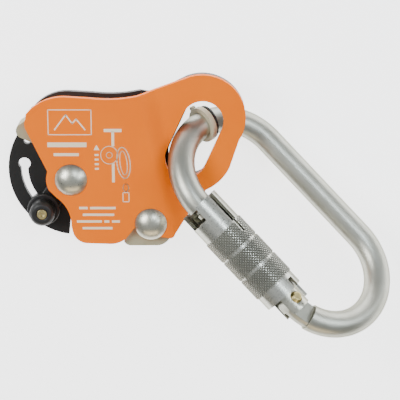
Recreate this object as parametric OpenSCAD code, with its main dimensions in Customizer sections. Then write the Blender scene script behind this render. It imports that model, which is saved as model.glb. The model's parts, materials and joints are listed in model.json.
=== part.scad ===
// Rope grab with a twist-lock oval connector, lying on its back.
// The origin is the middle of the cam axle's flat rear end. +Z points out of the front plate.

/* [Plates] */
// Thickness of each side plate in the body
plate_t = 3; // [2.5:0.1:3]
// Clear width between the side plates, where the rope runs
rope_gap = 16; // [15.5:0.1:16]
// Height of the front plate's step down to the eye
front_step = 4.2; // [4:0.1:4.4]
// Half width of the eye
eye_r = 8.4; // [8.3:0.1:8.5]

/* [Axles] */
// Shaft radius of both axles
axle_r = 4; // [3.5:0.1:4]
// Radius of the domed axle heads
head_r = 6.6; // [6:0.1:7]
// Height of the domed axle heads
head_h = 3; // [2.8:0.1:4]
// Thickness of the rear rivet washers
washer_h = 5; // [5:0.1:5.2]

/* [Cam and lever] */
// Width of the cam across the rope
cam_w = 10.8; // [9:0.1:10.8]
// Distance of the knob from the cam axle
knob_reach = 20.6; // [20:0.1:21]
// Direction of the knob at rest
knob_angle = 232; // [230:1:234]
// Direction of the keyhole that parks the lever
park_angle = 175; // [174:1:176]
// Radius of the knob cap
knob_r = 5.1; // [4.5:0.1:5.3]

/* [Connector] */
// Radius of the connector's rod
rod_r = 5.3; // [5.2:0.05:5.3]
// Radius of the connector's end bends, to the middle of the rod
bend_r = 23.2; // [23:0.1:23.4]
// Length of the connector's straight sides
side_l = 53.3; // [53:0.1:53.6]
// Tilt of the connector about its long axis
tilt = 43.2; // [43:0.1:43.4]
// Heading of the connector's long axis
heading = -56.6; // [-56.8:0.1:-56.4]
// Rise of the far end along the tilted connector
rise = 16; // [15.8:0.1:16.2]

/* [Sleeve] */
// Outer radius of the knurled bands
sleeve_r = 8.7; // [8.6:0.05:8.8]
// Length of one knurled band
band_l = 9.9; // [9.8:0.1:10]

/* [Hidden] */
$fn = 64;

fit = 0.05;      // radial clearance of a running fit
gap = 0.3;       // clearance between neighbours that don't fit each other

rear_z = washer_h;
gap_z = rear_z + plate_t;
front_z = gap_z + rope_gap;
top_z = front_z + plate_t;
front_eye_z = front_z - front_step;
rear_eye_z = front_eye_z - plate_t - 0.2;
anvil_axle_at = [31.6, -18.3];
eye_low = [45.7, 8.2];
eye_high = [52.3, 22.6];
// The rear plate's eye is wider and lies further out, where the slanting rod leaves it
rear_eye_shift = [1.7, 1.25];
rear_eye_extra = 0.4;

// The step between body and eye follows one straight crease
crease_at = [35.4, 11];
crease_lean = 14;
rear_trim = 1.5;
step_run = 6;

stop_pin_r = 2;
stop_pin_top = front_z + 1.6;
cam_z = front_z - gap - cam_w;
lever_z = gap_z + gap;
lever_t = 3;
arm_w = 9;
cam_turn_r = 9.2;
cam_bush_r = axle_r + 1.5;
flange_z = lever_z + lever_t;
flange_h = 2.6;
knob_z = flange_z + flange_h + gap;
knob_h = 6.8;
plunger_r = 1.4;
slot_w = 3;
keyhole_r = 2.5;
flange_r = 28.1;
flange_at = [1, -0.5];
small_hole_r = 1.4;
small_hole_at = [-19.2, 11.4];

leg_y = -bend_r;
hinge_x = 25;
nose_x = -26.1;
tongue_t = 5;
rivet_r = 1.5;
gate_r = 5.6;
gate_end = -25.2;
bore_r = 7.2;
collar_r = 8.4;
knurl_x = -13.6;
sleeve_x = -27.2;
ring_end = 17.6;
outer_end = 21.6;
bar_end = 28;
window_facing = -14;
window_w = 2.6;
sleeve_pin_r = 0.9;
connector_at = [83.5, -16.7];
rise_z = cos(tilt) * sin(rise);
connector_z = rod_r + 0.2 + side_l / 2 * rise_z + bend_r * norm([rise_z, sin(tilt)]);
keeper_turn = 168;
keeper_r = rod_r + 2;

// Points along an arc, the end points included
function arc(at, r, a0, a1, n = 12) =
    [for (i = [0:n]) at + r * [cos(a0 + (a1 - a0) * i / n), sin(a0 + (a1 - a0) * i / n)]];

// Outline of the body and the eye, with the top edge of the body lowered by trim
function body_outline(trim = 0) = concat(
    arc([52.2, 24.2], 17.2, -32, 112, 32),
    arc([15, 88.5], 56 + trim, -70, -97, 10),
    arc([-2.5, 14.5], 19 - trim, 88, 141),
    arc([-13.4, 22.6], 4.5, 150, 205, 6),
    arc([0, 0], 9.9, 160, 205, 6),
    arc([-14, -18.5], 13.8, 54, -3),
    arc([6.2, -20.4], 6, 195, 265, 8),
    arc([15.5, -17.4], 9.3, 268, 310, 6),
    arc(anvil_axle_at, 6.2, 190, 300),
    arc([39.2, -22.2], 2.2, 240, 350, 8),
    arc([46, 12], 18.9, -66, -25, 10));

// Side view of the front plate across its crease, from the body side to the eye side
function step_profile(z_body, z_eye, t) = [
    [-80, z_body], [-step_run / 2, z_body], [step_run / 2, z_eye], [60, z_eye],
    [60, z_eye + t], [step_run / 2 + 0.7, z_eye + t], [-step_run / 2 + 0.7, z_body + t], [-80, z_body + t]];

// Places its children in the connector's own frame: X along it, Y towards the spine
module in_connector() {
    translate([connector_at.x, connector_at.y, connector_z])
        rotate([0, 0, heading])
            rotate([-tilt, 0, 0])
                rotate([0, -rise, 0]) children();
}

// A cylinder along the connector from x0 to x1, on the gate's axis
module along_gate(x0, x1, r) {
    translate([x0, leg_y, 0]) rotate([0, 90, 0]) cylinder(h = x1 - x0, r = r);
}

// A long hole with round ends
module eye_hole(r, h) {
    along = eye_high - eye_low;
    lean = atan2(along.y, along.x);
    translate([0, 0, -1]) linear_extrude(height = h)
        polygon(concat(
            arc(eye_high, r, lean - 90, lean + 90, 24),
            arc(eye_low, r, lean + 90, lean + 270, 24)));
}

// A plate that steps from one level in the body to another at the eye
module stepped_plate(z_body, z_eye, t) {
    intersection() {
        linear_extrude(height = 60) children();
        translate([crease_at.x, crease_at.y, 0])
            rotate([0, 0, crease_lean])
                rotate([90, 0, 0])
                    linear_extrude(height = 160, center = true) polygon(step_profile(z_body, z_eye, t));
    }
}

module axle_holes(r) {
    translate([0, 0, -1]) cylinder(h = 60, r = r);
    translate([anvil_axle_at.x, anvil_axle_at.y, -1]) cylinder(h = 60, r = r);
}

module front_plate() {
    color("darkorange") difference() {
        stepped_plate(front_z, front_eye_z, plate_t) polygon(body_outline());
        axle_holes(axle_r);
        eye_hole(eye_r, 60);
        stop_pin_at() cylinder(h = stop_pin_top, r = stop_pin_r);
    }
}

module rear_plate() {
    color([0.12, 0.12, 0.12]) difference() {
        stepped_plate(rear_z, rear_eye_z, plate_t) {
            polygon(body_outline(rear_trim));
            flange_outline();
        }
        axle_holes(axle_r);
        translate([rear_eye_shift.x, rear_eye_shift.y, 0]) eye_hole(eye_r + rear_eye_extra, 60);
        stop_pin_at() cylinder(h = stop_pin_top, r = stop_pin_r);
        arc_slot();
        rotate([0, 0, park_angle]) translate([knob_reach, 0, 0]) cylinder(h = 20, r = keyhole_r);
        translate([small_hole_at.x, small_hole_at.y, 0]) cylinder(h = 20, r = small_hole_r);
    }
}

// The flange that stands out on the left and carries the arc slot
module flange_outline() {
    polygon(concat([[0, 0]], arc(flange_at, flange_r, 128, 262, 32)));
}

module arc_slot() {
    end = knob_angle + 1;
    end_at = knob_reach * [cos(end), sin(end)];
    translate([0, 0, -1]) linear_extrude(height = 20)
        polygon(concat(
            arc([0, 0], knob_reach + slot_w / 2, park_angle, end, 16),
            arc(end_at, slot_w / 2, end + 15, end + 165, 8),
            arc([0, 0], knob_reach - slot_w / 2, end, park_angle, 16)));
}

// A shaft with a domed front head, riveted over at the back
module axle(at) {
    dome_r = (head_r * head_r + head_h * head_h) / (2 * head_h);
    color("silver") translate([at.x, at.y, 0]) {
        cylinder(h = top_z, r = axle_r);
        translate([0, 0, top_z]) intersection() {
            cylinder(h = head_h, r = head_r);
            translate([0, 0, head_h - dome_r]) sphere(dome_r);
        }
    }
}

module rivet_washer(at) {
    color("gray") translate([at.x, at.y, 0]) difference() {
        cylinder(h = washer_h, r = head_r);
        translate([0, 0, -1]) cylinder(h = washer_h + 2, r = axle_r);
    }
}

module cam_axle() { axle([0, 0]); }
module anvil_axle() { axle(anvil_axle_at); }
module cam_axle_washer() { rivet_washer([0, 0]); }
module anvil_axle_washer() { rivet_washer(anvil_axle_at); }

// The block that the rope is pressed against, with its foot below the plates
module anvil() {
    color("darkkhaki") difference() {
        translate([0, 0, gap_z]) linear_extrude(height = rope_gap)
            polygon(concat(
                [[22, 9], [22, -24]],
                arc([23.4, -25.2], 3.2, 205, 265, 5),
                arc([33.8, -22.4], 6, 265, 335, 8),
                [[38.6, -18], [29.5, 12]],
                arc([25.6, 11], 3.6, 25, 150, 8)));
        axle_holes(axle_r);
    }
}

module stop_pin_at() {
    translate([3.5, 27.6, 0]) children();
}

// Keeps the plates apart and stops the cam
module stop_pin() {
    color("silver") stop_pin_at() translate([0, 0, rear_z]) cylinder(h = stop_pin_top - rear_z, r = stop_pin_r);
}

// Radius of the gripping face, which grows towards its lower end
function grip_r(a) = 10.4 + 1.5 * (40 - a) / 95;

// Cam with a toothed face on the right and a nose at the upper left
module cam() {
    teeth = 9;
    grip = [for (a = [-55:5:40]) grip_r(a) * [cos(a), sin(a)]];
    color("darkkhaki") difference() {
        translate([0, 0, cam_z]) linear_extrude(height = cam_w)
            polygon(concat(
                grip,
                [[2, 11], [-5.5, 19]],
                arc([-14.2, 19.8], 5.2, 40, 110, 6),
                arc([-18.6, 19.2], 3.1, 115, 255, 10),
                [[-15.4, 14.4], [-12, 10.4]],
                arc([0, 0], cam_turn_r, 150, 290, 12)));
        translate([0, 0, cam_z - 1]) cylinder(h = cam_w + 2, r = cam_bush_r);
        for (i = [0:teeth - 1]) {
            a = -50 + 10 * i;
            rotate([0, 0, a]) translate([grip_r(a) + 0.25, 0, cam_z - 1]) cylinder(h = cam_w + 2, r = 0.7);
        }
    }
}

module cam_bushing() {
    color("peru") difference() {
        translate([0, 0, cam_z]) cylinder(h = cam_w, r = cam_bush_r);
        translate([0, 0, cam_z - 1]) cylinder(h = cam_w + 2, r = axle_r + fit);
    }
}

// Spacer on the axle between the lever and the cam
module cam_spacer() {
    spacer_z = lever_z + lever_t + 0.1;
    color("silver") translate([0, 0, spacer_z]) difference() {
        cylinder(h = cam_z - spacer_z - 0.1, r = axle_r + 1);
        translate([0, 0, -1]) cylinder(h = 5, r = axle_r);
    }
}

// Points of a coil spring's wire, as rings of a fixed number of sides
function coil_points(r, wire, rise, turns, steps, sides) = [for (i = [0:steps * turns]) for (j = [0:sides - 1])
    let (a = 360 * i / steps, b = 360 * j / sides, q = r + wire * cos(b))
    [q * cos(a), q * sin(a), rise * i / steps + wire * sin(b)]];

module coil(r, wire, rise, turns) {
    steps = 12;
    sides = 6;
    rings = steps * turns;
    sides_list = [for (j = [0:sides - 1]) j];
    walls = [for (i = [0:rings - 1]) for (j = sides_list)
        [i * sides + j, (i + 1) * sides + j, (i + 1) * sides + (j + 1) % sides, i * sides + (j + 1) % sides]];
    ends = [sides_list, [for (j = sides_list) rings * sides + sides - 1 - j]];
    polyhedron(coil_points(r, wire, rise, turns, steps, sides), concat(walls, ends));
}

// Torsion spring round the spacer, which presses the cam on the rope
module cam_spring() {
    color("dimgray") translate([0, 0, lever_z + lever_t + 0.6]) coil(axle_r + 2.1, 0.4, 0.2, 1);
}

module on_lever(at) {
    rotate([0, 0, knob_angle]) translate([at, 0, 0]) children();
}

// Black lever under the front plate, from the cam axle to the knob
module lever_arm() {
    color([0.14, 0.14, 0.14]) difference() {
        translate([0, 0, lever_z]) union() {
            cylinder(h = lever_t, r = 8);
            on_lever(0) translate([0, -arm_w / 2, 0]) cube([knob_reach, arm_w, lever_t]);
            on_lever(knob_reach) cylinder(h = lever_t, r = 6.4);
        }
        translate([0, 0, lever_z - 1]) cylinder(h = lever_t + 2, r = axle_r + 1.2);
        on_lever(knob_reach) translate([0, 0, lever_z - 1]) cylinder(h = lever_t + 2, r = plunger_r + fit);
    }
}

module lever_bushing() {
    color("peru") translate([0, 0, lever_z]) difference() {
        cylinder(h = lever_t, r = axle_r + 1.2);
        translate([0, 0, -1]) cylinder(h = lever_t + 2, r = axle_r + fit);
    }
}

// Broad foot of the knob, which houses the plunger's spring
module knob_flange() {
    color([0.16, 0.16, 0.16]) on_lever(knob_reach) translate([0, 0, flange_z]) difference() {
        cylinder(h = flange_h, r = 6.6);
        translate([0, 0, -1]) cylinder(h = flange_h + 2, r = 2.6);
    }
}

module knob_cap() {
    color([0.13, 0.13, 0.13]) on_lever(knob_reach) translate([0, 0, knob_z]) difference() {
        union() {
            cylinder(h = knob_h - 1.2, r = knob_r);
            translate([0, 0, knob_h - 1.2]) cylinder(h = 1.2, r1 = knob_r, r2 = knob_r - 1.2);
        }
        translate([0, 0, knob_h - 1.6]) cylinder(h = 2, r = 2.2);
        translate([0, 0, -1]) cylinder(h = knob_h, r = plunger_r);
    }
}

// Socket screw that holds the cap on the plunger
module knob_screw() {
    color("khaki") on_lever(knob_reach) translate([0, 0, knob_z + knob_h - 1.6]) difference() {
        cylinder(h = 1.5, r = 2);
        translate([0, 0, 0.5]) cylinder(h = 2, r = 1, $fn = 6);
    }
}

// Pin that runs in the arc slot; pulled up, it leaves the keyhole
module plunger() {
    color("silver") on_lever(knob_reach) translate([0, 0, rear_z + 0.2])
        cylinder(h = knob_z + knob_h - 1.6 - rear_z - 0.2, r = plunger_r);
}

module plunger_spring() {
    color("dimgray") on_lever(knob_reach) translate([0, 0, flange_z + 0.35]) coil(2.05, 0.25, 0.64, 3);
}

// Places its children on the rod where it passes through the eye, Z along the rod
module on_bend(a) {
    in_connector() translate([-side_l / 2, 0, 0])
        rotate([0, 0, a]) translate([bend_r, 0, 0]) rotate([-90, 0, 0]) children();
}

module ring(r_in, r_out, h) {
    rotate_extrude() translate([r_in, -h / 2]) square([r_out - r_in, h]);
}

// Pale ring round the rod in the eye, with a small nub
module keeper_ring() {
    color("beige") on_bend(keeper_turn) {
        ring(rod_r, keeper_r, 2.2);
        translate([keeper_r + 0.4, 0, 0]) cylinder(h = 1.8, r = 1, center = true);
    }
}

module keeper_seal() {
    color([0.1, 0.1, 0.1]) on_bend(keeper_turn - 5.5) ring(rod_r, rod_r + 1.6, 0.8);
}

// A round bend of the rod, from one angle to the other
module rod_bend(x, a0, a1, r) {
    translate([x, 0, 0]) rotate([0, 0, a0])
        rotate_extrude(angle = a1 - a0) translate([bend_r, 0]) circle(r);
}

// Forged steel oval, open between its nose and the hinge tongue
module connector_body() {
    shoulder = -70;
    color([0.72, 0.72, 0.68]) in_connector() difference() {
        union() {
            rod_bend(-side_l / 2, 90, 270, rod_r);
            rod_bend(side_l / 2, 90, shoulder, rod_r);
            translate([-side_l / 2, bend_r, 0]) rotate([0, 90, 0]) cylinder(h = side_l, r = rod_r);
            along_gate(-side_l / 2, nose_x, rod_r);
            intersection() {
                rod_bend(side_l / 2, -90, shoulder + 2, 4.6);
                translate([0, leg_y - 10, -tongue_t / 2]) cube([60, 40, tongue_t]);
            }
            translate([hinge_x, leg_y, -tongue_t / 2]) cylinder(h = tongue_t, r = 4.6);
            translate([hinge_x, leg_y - 4.6, -tongue_t / 2]) cube([2.2, 9.2, tongue_t]);
        }
        translate([hinge_x, leg_y, -10]) cylinder(h = 20, r = rivet_r);
    }
}

// Tee on the nose, which the gate's end hooks over
module nose_pin() {
    color("silver") in_connector() {
        along_gate(nose_x, nose_x + 2.3, 2);
        along_gate(nose_x + 2.2, nose_x + 4.2, 3.6);
    }
}

module gate_rivet() {
    color("goldenrod") in_connector() translate([hinge_x, leg_y, 0]) {
        cylinder(h = 12, r = rivet_r, center = true);
        for (s = [0, 180]) rotate([s, 0, 0]) translate([0, 0, 5.3]) cylinder(h = 1.5, r1 = 2.5, r2 = 1.6);
    }
}

// Round gate bar, forked over the tongue at one end and slotted for the tee at the other
module gate() {
    fork_w = tongue_t + 0.6;
    color([0.78, 0.8, 0.82]) in_connector() difference() {
        along_gate(gate_end, 29.6, gate_r);
        translate([19.6, leg_y - 8, -fork_w / 2]) cube([12, 16, fork_w]);
        translate([hinge_x, leg_y, -10]) cylinder(h = 20, r = rivet_r + fit);
        for (s = [1, -1]) translate([hinge_x, leg_y, s * 6.3]) cylinder(h = 2, r = 2.6, center = true);
        translate([gate_end - 1, leg_y - 8, -2.4]) cube([3, 10.4, 4.8]);
        translate([gate_end + 1, leg_y - 8, -4]) cube([3.4, 12, 8]);
        along_gate(4, 20, 2.2);
    }
}

module gate_plunger() {
    color("silver") in_connector() along_gate(13, 20.1, 2.15);
}

module gate_spring() {
    color("dimgray") in_connector() translate([4.3, leg_y, 0]) rotate([0, 90, 0]) coil(1.7, 0.25, 2.05, 4);
}

// A cut through the sleeve's wall that faces the given direction
module wall_cut(x0, x1, facing, w) {
    translate([x0, leg_y, 0]) rotate([facing, 0, 0]) translate([0, 0, 3]) translate([0, -w / 2, 0])
        cube([x1 - x0, w, 8]);
}

// Locking sleeve: collar, three knurled bands with grooves between, and a cut-away end
module sleeve() {
    color([0.66, 0.67, 0.65]) in_connector() difference() {
        union() {
            along_gate(sleeve_x, bar_end, collar_r);
            for (i = [0:2]) along_gate(knurl_x + i * band_l + 0.25, knurl_x + (i + 1) * band_l - 0.25, sleeve_r);
        }
        along_gate(sleeve_x - 1, -12.4, bore_r);
        along_gate(-13, 30, gate_r + fit);
        along_gate(-8.6, 11, bore_r);
        along_gate(14, 30, bore_r);
        wall_cut(sleeve_x - 1, knurl_x, window_facing, window_w);
        wall_cut(knurl_x - 1, knurl_x + 6, window_facing, 1.2);
        wall_cut(sleeve_x - 1, -20.6, 90, 11.6);
        wall_cut(ring_end, bar_end + 1, window_facing, window_w);
        translate([outer_end, leg_y - 10, -10]) cube([20, 14, 20]);
        translate([outer_end, leg_y - 10, 0]) cube([20, 20, 12]);
        wall_cut(outer_end, bar_end + 1, 180, 20);
        sleeve_pin_at() cylinder(h = 10, r = sleeve_pin_r);
    }
}

module sleeve_pin_at() {
    translate([12.4, leg_y, 0]) rotate([90, 0, 0]) translate([0, 0, gate_r + gap]) children();
}

// Small pin in the sleeve that runs in the gate's helical track
module sleeve_pin() {
    color("silver") in_connector() sleeve_pin_at() cylinder(h = sleeve_r - gate_r - 2 * gap, r = sleeve_pin_r);
}

module sleeve_spring() {
    color("dimgray") in_connector() translate([-8.2, leg_y, 0]) rotate([0, 90, 0]) coil(6.4, 0.35, 3, 6);
}

front_plate();
rear_plate();
cam_axle();
anvil_axle();
cam_axle_washer();
anvil_axle_washer();
anvil();
stop_pin();
cam();
cam_bushing();
cam_spacer();
cam_spring();
lever_arm();
lever_bushing();
knob_flange();
knob_cap();
knob_screw();
plunger();
plunger_spring();
keeper_ring();
keeper_seal();
connector_body();
nose_pin();
gate_rivet();
gate();
gate_plunger();
gate_spring();
sleeve();
sleeve_pin();
sleeve_spring();
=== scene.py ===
"""Looks of the rope grab and its twist-lock connector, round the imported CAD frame."""
import json
import math
import bmesh
import bpy
from mathutils import Matrix, Vector


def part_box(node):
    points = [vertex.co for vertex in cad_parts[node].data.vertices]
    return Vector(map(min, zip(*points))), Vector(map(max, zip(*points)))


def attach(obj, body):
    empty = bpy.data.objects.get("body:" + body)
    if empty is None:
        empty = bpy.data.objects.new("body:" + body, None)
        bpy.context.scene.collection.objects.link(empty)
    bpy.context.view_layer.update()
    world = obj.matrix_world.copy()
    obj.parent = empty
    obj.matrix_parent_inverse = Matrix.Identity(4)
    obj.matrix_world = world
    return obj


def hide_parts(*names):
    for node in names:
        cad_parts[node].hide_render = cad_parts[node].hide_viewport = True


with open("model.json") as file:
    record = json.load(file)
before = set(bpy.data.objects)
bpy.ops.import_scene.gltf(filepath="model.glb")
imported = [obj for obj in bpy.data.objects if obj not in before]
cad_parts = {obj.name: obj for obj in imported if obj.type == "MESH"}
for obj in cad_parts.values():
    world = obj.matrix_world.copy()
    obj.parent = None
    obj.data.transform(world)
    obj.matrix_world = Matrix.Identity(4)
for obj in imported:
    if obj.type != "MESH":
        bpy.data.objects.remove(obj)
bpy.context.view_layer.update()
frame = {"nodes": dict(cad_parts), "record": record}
MM = 0.001
record = frame["record"]
body_of_node = {n: b for b, nodes in record["behaviour"]["bodies"].items() for n in nodes}
joints = {j["name"]: j for j in record["behaviour"]["joints"]}
slot_of_node = {s["node"]: s["material_slot"] for s in record["subparts"]}


# ---- places, all taken from the frame ----
def middle(node):
    lo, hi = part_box(node)
    return (Vector(lo) + Vector(hi)) / 2


CAM_AXLE = middle("cam_axle")
PLATE_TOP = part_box("front_plate")[1][2]
GATE_AXIS_AT = Vector(joints["sleeve_turn"]["pos_m"])
ALONG = Vector(joints["sleeve_turn"]["axis"]).normalized()
OUT = -Vector(joints["gate_open"]["axis"]).normalized()
SIDE = OUT.cross(ALONG).normalized()

# ---- camera, light and floor ----
CAMERA_LEAN = math.radians(16)
CAMERA_DISTANCE = 0.6
CAMERA_LENS, SENSOR = 135, 36
NEAREST, FARTHEST = 0.01, 10
FRAMED = Vector((51.3, -8.7, 25.5)) * MM  # from the floor under the cam axle
LIT = Vector((0.05, -0.02, 0.02))
LIGHTS = {  # place, size, watts, colour
    "key": ((-0.5, 0.3, 0.7), (0.5, 0.35), 6.5, (1, 1, 1)),
    "fill": ((0.6, 0.2, 0.5), (0.3, 0.5), 2.6, (0.85, 0.93, 1)),
    "front": ((0.05, -0.6, 0.35), (0.7, 0.2), 1.2, (1, 0.8, 0.5)),
    "sky": ((0.28, 0.41, 0.76), (0.2, 0.2), 1.7, (0.8, 0.9, 1)),
}
WORLD_LOW, WORLD_HIGH, WORLD_HIGH_AT = (0.1, 0.09, 0.07), (0.7, 0.74, 0.78), 0.9
WORLD_STRENGTH = 0.62
FLOOR_REACH = 3.0
PAPER_TONE, PAPER_ROUGHNESS, PAPER_GLOW = 0.93, 0.9, 2.6


def put(node, **values):
    """Sets a node's own sockets, each named with underscores for its spaces."""
    for name, value in values.items():
        node.inputs[name.replace("_", " ")].default_value = value


def fill_ramp(ramp, low_at, low, high_at, high):
    for stop, place, colour in zip(ramp.color_ramp.elements, (low_at, high_at), (low, high)):
        stop.position = place
        stop.color = (*colour, 1)


def make_camera():
    """Over the plates, leaning back from the top of the picture."""
    data = bpy.data.cameras.new("camera")
    data.sensor_width = SENSOR
    data.lens = CAMERA_LENS
    data.clip_start, data.clip_end = NEAREST, FARTHEST
    camera = bpy.data.objects.new("camera", data)
    camera.rotation_euler = (-CAMERA_LEAN, 0, 0)
    away = Vector((0, math.sin(CAMERA_LEAN), math.cos(CAMERA_LEAN)))
    camera.location = CAM_AXLE.xy.to_3d() + FRAMED + CAMERA_DISTANCE * away
    bpy.context.collection.objects.link(camera)
    bpy.context.scene.camera = camera


def area_light(name, at, size, watts, colour):
    data = bpy.data.lights.new(name, "AREA")
    data.shape = "RECTANGLE"
    data.size, data.size_y = size
    data.energy = watts
    data.color = colour
    light = bpy.data.objects.new(name, data)
    light.location = at
    light.rotation_euler = (LIT - Vector(at)).to_track_quat("-Z", "Y").to_euler()
    bpy.context.collection.objects.link(light)


def make_world():
    """Dim and warm below, pale and cool above."""
    world = bpy.data.worlds.new("studio")
    world.use_nodes = True
    nodes, links = world.node_tree.nodes, world.node_tree.links
    coords = nodes.new("ShaderNodeTexCoord")
    split = nodes.new("ShaderNodeSeparateXYZ")
    ramp = nodes.new("ShaderNodeValToRGB")
    fill_ramp(ramp, 0, WORLD_LOW, WORLD_HIGH_AT, WORLD_HIGH)
    links.new(coords.outputs["Generated"], split.inputs[0])
    links.new(split.outputs["Z"], ramp.inputs[0])
    links.new(ramp.outputs[0], nodes["Background"].inputs["Color"])
    put(nodes["Background"], Strength=WORLD_STRENGTH)
    bpy.context.scene.world = world


def make_floor():
    """A pale sheet of paper that glows a little."""
    floor_mesh = bpy.data.meshes.new("floor")
    corners = [(x * FLOOR_REACH, y * FLOOR_REACH, 0) for x, y in ((-1, -1), (1, -1), (1, 1), (-1, 1))]
    floor_mesh.from_pydata(corners, [], [(0, 1, 2, 3)])
    floor = bpy.data.objects.new("floor", floor_mesh)
    bpy.context.collection.objects.link(floor)
    paper = bpy.data.materials.new("paper")
    paper.use_nodes = True
    put(paper.node_tree.nodes["Principled BSDF"], Base_Color=(PAPER_TONE, PAPER_TONE, PAPER_TONE, 1),
        Roughness=PAPER_ROUGHNESS, Emission_Color=(1, 1, 1, 1), Emission_Strength=PAPER_GLOW)
    floor_mesh.materials.append(paper)


# ---- materials ----
TINT_AT, COLOUR_AT = 0.35, 0.65  # of the broad noise
FINE_LOW, FINE_HIGH = 0.3, 0.7  # the range of the fine noise that roughness follows
FINE_DETAIL, BROAD_DETAIL = 3, 4
GRAIN_DEPTH = 0.2 * MM
STEEL_RIM = (0.35, 0.34, 0.3)


def surface(name, colour, tint, roughness, metallic=0.0, grain=900.0, bump=0.05, blotch=60.0,
            rough_spread=0.08, specular=0.5, rim=(1, 1, 1)):
    """A shader whose colour wanders between two tones, with fine grain in its bump and roughness."""
    made = bpy.data.materials.new(name)
    made.use_nodes = True
    nodes, links = made.node_tree.nodes, made.node_tree.links
    shader = nodes["Principled BSDF"]
    put(shader, Metallic=metallic, Specular_IOR_Level=specular, Specular_Tint=(*rim, 1))
    coords = nodes.new("ShaderNodeTexCoord")
    fine = nodes.new("ShaderNodeTexNoise")
    put(fine, Scale=grain, Detail=FINE_DETAIL)
    broad = nodes.new("ShaderNodeTexNoise")
    put(broad, Scale=blotch, Detail=BROAD_DETAIL)
    links.new(coords.outputs["Object"], fine.inputs["Vector"])
    links.new(coords.outputs["Object"], broad.inputs["Vector"])
    tones = nodes.new("ShaderNodeValToRGB")
    fill_ramp(tones, TINT_AT, tint, COLOUR_AT, colour)
    links.new(broad.outputs["Fac"], tones.inputs[0])
    links.new(tones.outputs[0], shader.inputs["Base Color"])
    rough = nodes.new("ShaderNodeMapRange")
    put(rough, From_Min=FINE_LOW, From_Max=FINE_HIGH,
        To_Min=roughness - rough_spread, To_Max=roughness + rough_spread)
    links.new(fine.outputs["Fac"], rough.inputs["Value"])
    links.new(rough.outputs[0], shader.inputs["Roughness"])
    relief = nodes.new("ShaderNodeBump")
    put(relief, Strength=bump, Distance=GRAIN_DEPTH)
    links.new(fine.outputs["Fac"], relief.inputs["Height"])
    links.new(relief.outputs[0], shader.inputs["Normal"])
    return made


LOOKS = {  # for each of the record's slots: colour, tint, roughness and what differs from a plain surface
    "orange_anodised": ((1.0, 0.2, 0.0), (0.98, 0.185, 0.0), 0.5,
                        dict(grain=2600, bump=0.06, rough_spread=0.05, specular=0.08)),
    "black_anodised": ((0.022, 0.022, 0.021), (0.016, 0.016, 0.016), 0.45,
                       dict(grain=2600, bump=0.08, specular=0.3)),
    "zinc_steel": ((0.6, 0.59, 0.5), (0.55, 0.54, 0.45), 0.34,
                   dict(metallic=1, grain=1800, bump=0.03, blotch=90, rim=STEEL_RIM)),
    "cast_steel": ((0.42, 0.4, 0.27), (0.36, 0.34, 0.22), 0.6,
                   dict(metallic=0.2, grain=1800, bump=0.3, blotch=180, specular=0.3)),
    "bronze": ((0.5, 0.31, 0.14), (0.38, 0.22, 0.09), 0.4, dict(metallic=1)),
    "spring_steel": ((0.35, 0.35, 0.34), (0.25, 0.25, 0.25), 0.35, dict(metallic=1)),
    "black_lever": ((0.016, 0.016, 0.016), (0.011, 0.011, 0.011), 0.42, dict(grain=2200)),
    "black_plastic": ((0.013, 0.013, 0.013), (0.009, 0.009, 0.009), 0.45, dict(grain=3000, bump=0.15)),
    "yellow_zinc": ((0.7, 0.58, 0.24), (0.6, 0.5, 0.26), 0.34,
                    dict(metallic=1, blotch=500, bump=0.02, rim=STEEL_RIM)),
    "cream_nylon": ((0.56, 0.52, 0.36), (0.5, 0.46, 0.31), 0.5, dict(grain=2000)),
    "black_rubber": ((0.012, 0.012, 0.012), (0.008, 0.008, 0.008), 0.6, {}),
    "forged_steel": ((0.5, 0.5, 0.44), (0.44, 0.44, 0.38), 0.4,
                     dict(metallic=1, grain=2400, bump=0.1, blotch=120, rim=STEEL_RIM)),
    "sleeve_steel": ((0.58, 0.58, 0.52), (0.53, 0.53, 0.47), 0.32,
                     dict(metallic=1, grain=2000, bump=0.03, blotch=120, rim=STEEL_RIM)),
}


def make_materials():
    return {slot: surface(slot, colour, tint, roughness, **more)
            for slot, (colour, tint, roughness, more) in LOOKS.items()}


# Painted shade: a darker, less metallic steel for the knurl's flanks, where the valleys between the points
# fall dark.
def painted_shade_flanks():
    return surface("knurl_painted_shade", (0.33, 0.33, 0.29), (0.27, 0.27, 0.24), 0.45, metallic=0.8)


def print_ink():
    return surface("print", (1.0, 0.84, 0.62), (0.98, 0.78, 0.54), 0.6, grain=3000)


# ---- pieces ----
WELD = 2e-6  # metres between vertices that are one
FLAT_WITHIN = math.radians(0.5)
SHARP_OVER = math.radians(35)
EDGE_SEGMENTS = 3
EDGE_WIDTHS = {  # in millimetres
    "cam_axle": 0.25, "anvil_axle": 0.25, "front_plate": 0.45, "rear_plate": 0.45, "anvil": 0.8,
    "cam": 0.5, "lever_arm": 0.4, "knob_flange": 0.5, "knob_cap": 0.4, "knob_screw": 0.15,
    "keeper_ring": 0.4, "gate": 0.25, "sleeve": 0.25, "gate_rivet": 0.25, "nose_pin": 0.2,
    "connector_body": 0.25, "cam_axle_washer": 0.5, "anvil_axle_washer": 0.5,
}


def add_piece(name, mesh, node, slot=None):
    """A new piece that rides with a CAD node's body and takes a slot's material."""
    piece = bpy.data.objects.new(name, mesh)
    bpy.context.collection.objects.link(piece)
    slot = slot or slot_of_node[node]
    mesh.materials.clear()
    mesh.materials.append(materials[slot])
    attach(piece, body_of_node[node])
    return piece


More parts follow.
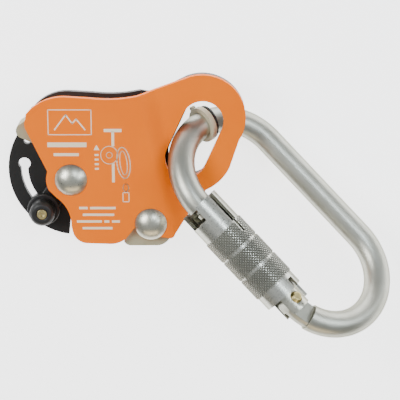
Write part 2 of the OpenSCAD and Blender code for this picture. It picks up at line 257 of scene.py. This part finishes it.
def soften(node, width, reshape=None):
    """Stands in for a CAD node with its edges rounded."""
    mesh = frame["nodes"][node].data.copy()
    mesh.name = node + "_rounded"
    work = bmesh.new()
    work.from_mesh(mesh)
    bmesh.ops.remove_doubles(work, verts=work.verts, dist=WELD)
    if reshape:
        reshape(work)
    bmesh.ops.dissolve_limit(work, angle_limit=FLAT_WITHIN, verts=work.verts, edges=work.edges)
    for face in work.faces:
        face.smooth = True
    work.to_mesh(mesh)
    work.free()
    mesh.set_sharp_from_angle(angle=SHARP_OVER)
    piece = add_piece(node + "_rounded", mesh, node)
    edge = piece.modifiers.new("edge", "BEVEL")
    edge.width = width
    edge.segments = EDGE_SEGMENTS
    edge.limit_method = "ANGLE"
    edge.angle_limit = SHARP_OVER
    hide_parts(node)


def finish_nodes(softened):
    """Gives the CAD nodes that nothing stands in for their materials."""
    for node, obj in frame["nodes"].items():
        if node in softened:
            continue
        obj.data.materials.clear()
        obj.data.materials.append(materials[slot_of_node[node]])


# ---- the eased step of the front plate ----
STEP_AT = CAM_AXLE.xy + Vector((35.4, 11)) * MM
STEP_TURN = math.radians(14)
STEP_ACROSS = Vector((math.cos(STEP_TURN), math.sin(STEP_TURN)))
STEP_DROP, STEP_HALF, STEP_SHIFT, EASED_HALF = 4.2 * MM, 3 * MM, 0.7 * MM, 4.6 * MM
CUTS_BEFORE, CUTS_AFTER, CUT_SPACING, CUT_SNAP = 11, 12, 0.45 * MM, 1e-7
SHEET_THICK = 3 * MM


def share_of_step(off, half):
    """0 before the step, 1 behind it, and straight in between."""
    return min(max((off + half) / (2 * half), 0), 1)


def ease_step(work):
    """Turns the two straight folds of the step into one smooth curve."""
    for k in range(-CUTS_BEFORE, CUTS_AFTER + 1):
        at = STEP_AT + STEP_ACROSS * k * CUT_SPACING
        bmesh.ops.bisect_plane(work, geom=work.verts[:] + work.edges[:] + work.faces[:],
                               plane_co=at.to_3d(), plane_no=STEP_ACROSS.to_3d(), dist=CUT_SNAP)
    under = PLATE_TOP - SHEET_THICK
    for vert in work.verts:
        off = (vert.co.xy - STEP_AT).dot(STEP_ACROSS)
        above = vert.co.z - (under - STEP_DROP * share_of_step(off, STEP_HALF))
        if above > SHEET_THICK / 2:
            off -= STEP_SHIFT
        eased = share_of_step(off, EASED_HALF)
        smooth = eased * eased * (3 - 2 * eased)
        vert.co.z += STEP_DROP * (share_of_step(off, STEP_HALF) - smooth)


# ---- the knurled bands of the sleeve ----
BAND_START, BAND_LENGTH, BAND_GAP = -13.6 * MM, 9.9 * MM, 0.12 * MM
BAND_FOOT, BAND_PEAK, PLAIN_BAND = 8.45 * MM, 8.88 * MM, 8.6 * MM
BAND_COUNT, TEETH_ROUND, ROWS = 3, 40, 13
TIP = 0.36  # a point's top as a share of its foot
TIP_DEPTH = 0.06 * MM
SLOT_AT, SLOT_HALF, SLOT_REACH = math.radians(14), math.radians(6), 6 * MM
KNURL_WELD = 1e-6


def on_sleeve(along, angle, radius):
    return GATE_AXIS_AT + ALONG * along + radius * (OUT * math.cos(angle) + SIDE * math.sin(angle))


def lower_bands(work):
    """Takes the plain bands down to the foot of the knurling."""
    for vert in work.verts:
        along = (vert.co - GATE_AXIS_AT).dot(ALONG)
        across = vert.co - GATE_AXIS_AT - ALONG * along
        if across.length > PLAIN_BAND:
            vert.co = GATE_AXIS_AT + ALONG * along + across * (BAND_FOOT / across.length)


def in_slot(along, angle):
    """True in the cut-out at the start of the first band, which has no points."""
    off = (angle - SLOT_AT + math.pi) % (2 * math.pi) - math.pi
    return abs(off) < SLOT_HALF and along < BAND_START + SLOT_REACH


def knurl_point(along, angle, half_length, half_turn):
    """The foot and then the top of one point, four corners each."""
    return [on_sleeve(along + share * half_length * step, angle + share * half_turn * turn, radius)
            for share, radius in ((1, BAND_FOOT), (TIP, BAND_PEAK))
            for step, turn in ((-1, 0), (0, 1), (1, 0), (0, -1))]


def knurling():
    """Rows of small four-sided points round each band, with painted shade: their flanks take a darker steel
    than their tops.
    """
    verts, faces = [], []
    turn = 2 * math.pi / TEETH_ROUND
    pitch = (BAND_LENGTH - 2 * BAND_GAP) / (ROWS + 1)
    for band in range(BAND_COUNT):
        start = BAND_START + band * BAND_LENGTH + BAND_GAP
        for row in range(ROWS):
            along = start + pitch * (row + 1)
            for tooth in range(TEETH_ROUND):
                angle = turn * (tooth + 0.5 * (row % 2))
                if in_slot(along, angle):
                    continue
                first = len(verts)
                verts += knurl_point(along, angle, pitch, turn / 2)
                faces += [[first + k, first + (k + 1) % 4, first + 4 + (k + 1) % 4, first + 4 + k]
                          for k in range(4)]
                faces.append([first + 4 + k for k in range(4)])
    mesh = bpy.data.meshes.new("sleeve_knurling")
    mesh.from_pydata(verts, [], faces)
    mesh.update()
    work = bmesh.new()
    work.from_mesh(mesh)
    bmesh.ops.remove_doubles(work, verts=work.verts, dist=KNURL_WELD)
    bmesh.ops.recalc_face_normals(work, faces=work.faces)
    work.to_mesh(mesh)
    work.free()
    add_piece("sleeve_knurling", mesh, "sleeve")
    mesh.materials.append(painted_shade_flanks())
    # Faces within TIP_DEPTH of the peak keep the sleeve's steel; all lower faces, the flanks, get the
    # painted shade.
    for face in mesh.polygons:
        radius = (face.center - GATE_AXIS_AT).cross(ALONG).length
        face.material_index = 0 if radius > BAND_PEAK - TIP_DEPTH else 1


# ---- generic printed marks on the front plate, in millimetres from the cam axle ----
FINE, BOLD = 0.35, 1.1
PEAK_LINE, LINK_LINE = FINE * 1.6, FINE * 1.3
STROKE_OVERLAP = 0.35  # of its width, so that corners close
PRINT_UNDER, PRINT_TOP = 0.01 * MM, 0.04 * MM
BADGE = (-8.5, 18.5, 8.5, 28.5)
PEAKS = [(-6, 20.5), (-1.5, 26.5), (1, 23), (2.6, 24.8), (6, 20.5)]
TITLE_BARS = [(-9, 6.5, 14.4, 1.9), (-6.6, 3.4, 10.4, 1.2)]
DASH_LEFT, DASH_RIGHT, DASH_FIRST, DASH_HEIGHT = 9.6, 11.2, 4.6, 0.8
DASH_COUNT, DASH_PITCH = 4, 1.9
ARROW_LEFT, ARROW_RIGHT, ARROW_FOOT, ARROW_TIP = 9.2, 11.6, 12.2, 14.4
ROPE_X, ROPE_TOP, ROPE_GRAB_TOP, ROPE_GRAB_FOOT, ROPE_FOOT = 16.9, 19.4, 14.2, 6.4, -0.6
CEILING = (13.4, 20.4, 20.2, 1.3)
GRAB_AT, GRAB_HALVES, GRAB_HUB, HUB_POINTS = (15.4, 10.2), (3.4, 3.6), 1.2, 16
LINK_AT, LINK_OUTER, LINK_INNER, LINK_LEAN = (21, 7), (2.6, 6.4), (1.4, 4.9), 6
SIGN_AT, SIGN_HALVES = (21.8, -3.2), (1.1, 1.6)
SIGN_BOX = [(20.6, -9), (20.6, -5.2), (23, -5.2), (23, -9)]
TEXT_HEIGHT = 1.0
TEXT_ROWS = {  # height of each row, and the two ends of its bars
    -11.6: ((3, 6.4), (7.4, 17.6)),
    -14.4: ((4.4, 17),),
    -17.2: ((2, 12), (13, 15), (16, 19.2)),
    -20: ((4.2, 16.2),),
}


def stroke(points, width, closed=False):
    """Quads along a line."""
    quads = []
    ends = points[1:] + points[:1] if closed else points[1:]
    for a, b in zip(points, ends):
        a, b = Vector(a), Vector(b)
        run = (b - a).normalized()
        across = Vector((-run.y, run.x)) * width / 2
        a, b = a - run * width * STROKE_OVERLAP, b + run * width * STROKE_OVERLAP
        quads.append([a - across, b - across, b + across, a + across])
    return quads


def oval(centre, half_x, half_y, lean=0.0, count=28):
    turn = Matrix.Rotation(math.radians(lean), 2)
    return [Vector(centre) + turn @ Vector((half_x * math.cos(t), half_y * math.sin(t)))
            for t in (2 * math.pi * k / count for k in range(count))]


def rectangle(left, low, right, high):
    return [Vector(p) for p in ((left, low), (right, low), (right, high), (left, high))]


def bar(left, right, y, height):
    return rectangle(left, y - height / 2, right, y + height / 2)


def badge():
    return stroke(rectangle(*BADGE), FINE, closed=True) + stroke(PEAKS, PEAK_LINE)


def dashed_arrow():
    dashes = [bar(DASH_LEFT, DASH_RIGHT, DASH_FIRST + DASH_PITCH * step, DASH_HEIGHT)
              for step in range(DASH_COUNT)]
    tip = ((ARROW_LEFT + ARROW_RIGHT) / 2, ARROW_TIP)
    return dashes + [[Vector((ARROW_LEFT, ARROW_FOOT)), Vector((ARROW_RIGHT, ARROW_FOOT)), Vector(tip)]]


def rope_with_grab():
    """A rope from a ceiling, a round grab on it and an oval link beside them."""
    shapes = [bar(*CEILING)]
    shapes += stroke([(ROPE_X, ROPE_TOP), (ROPE_X, ROPE_GRAB_TOP)], BOLD)
    shapes += stroke([(ROPE_X, ROPE_GRAB_FOOT), (ROPE_X, ROPE_FOOT)], BOLD)
    shapes += stroke(oval(GRAB_AT, *GRAB_HALVES), FINE, closed=True)
    shapes += stroke(oval(GRAB_AT, GRAB_HUB, GRAB_HUB, count=HUB_POINTS), FINE, closed=True)
    shapes += stroke(oval(LINK_AT, *LINK_OUTER, LINK_LEAN), LINK_LINE, closed=True)
    shapes += stroke(oval(LINK_AT, *LINK_INNER, LINK_LEAN), FINE, closed=True)
    return shapes


def small_signs():
    """A small oval over a small upright box."""
    return stroke(oval(SIGN_AT, *SIGN_HALVES), FINE, closed=True) + stroke(SIGN_BOX, FINE, closed=True)


def text_bars():
    """Plain bars where lettering would be."""
    return [bar(left, right, y, TEXT_HEIGHT) for y, row in TEXT_ROWS.items() for left, right in row]


def printed_marks():
    """The marks as thin slabs on the plate."""
    shapes = badge() + [bar(*title) for title in TITLE_BARS]
    shapes += dashed_arrow() + rope_with_grab() + small_signs() + text_bars()
    low, high = PLATE_TOP + PRINT_UNDER, PLATE_TOP + PRINT_TOP
    verts, faces = [], []
    for shape in shapes:
        first, n = len(verts), len(shape)
        flat = [CAM_AXLE.xy + p * MM for p in shape]
        verts += [(p.x, p.y, low) for p in flat] + [(p.x, p.y, high) for p in flat]
        faces.append([first + n + k for k in range(n)])
        faces.append([first + n - 1 - k for k in range(n)])
        faces += [[first + k, first + (k + 1) % n, first + n + (k + 1) % n, first + n + k] for k in range(n)]
    mesh = bpy.data.meshes.new("plate_marks")
    mesh.from_pydata(verts, [], faces)
    add_piece("plate_marks", mesh, "front_plate", "cream_nylon")
    mesh.materials[0] = print_ink()


RESHAPED = {"sleeve": lower_bands, "front_plate": ease_step}

make_camera()
for light_name, light in LIGHTS.items():
    area_light(light_name, *light)
make_world()
make_floor()
materials = make_materials()
for node, width in EDGE_WIDTHS.items():
    soften(node, width * MM, RESHAPED.get(node))
knurling()
printed_marks()
finish_nodes(EDGE_WIDTHS)
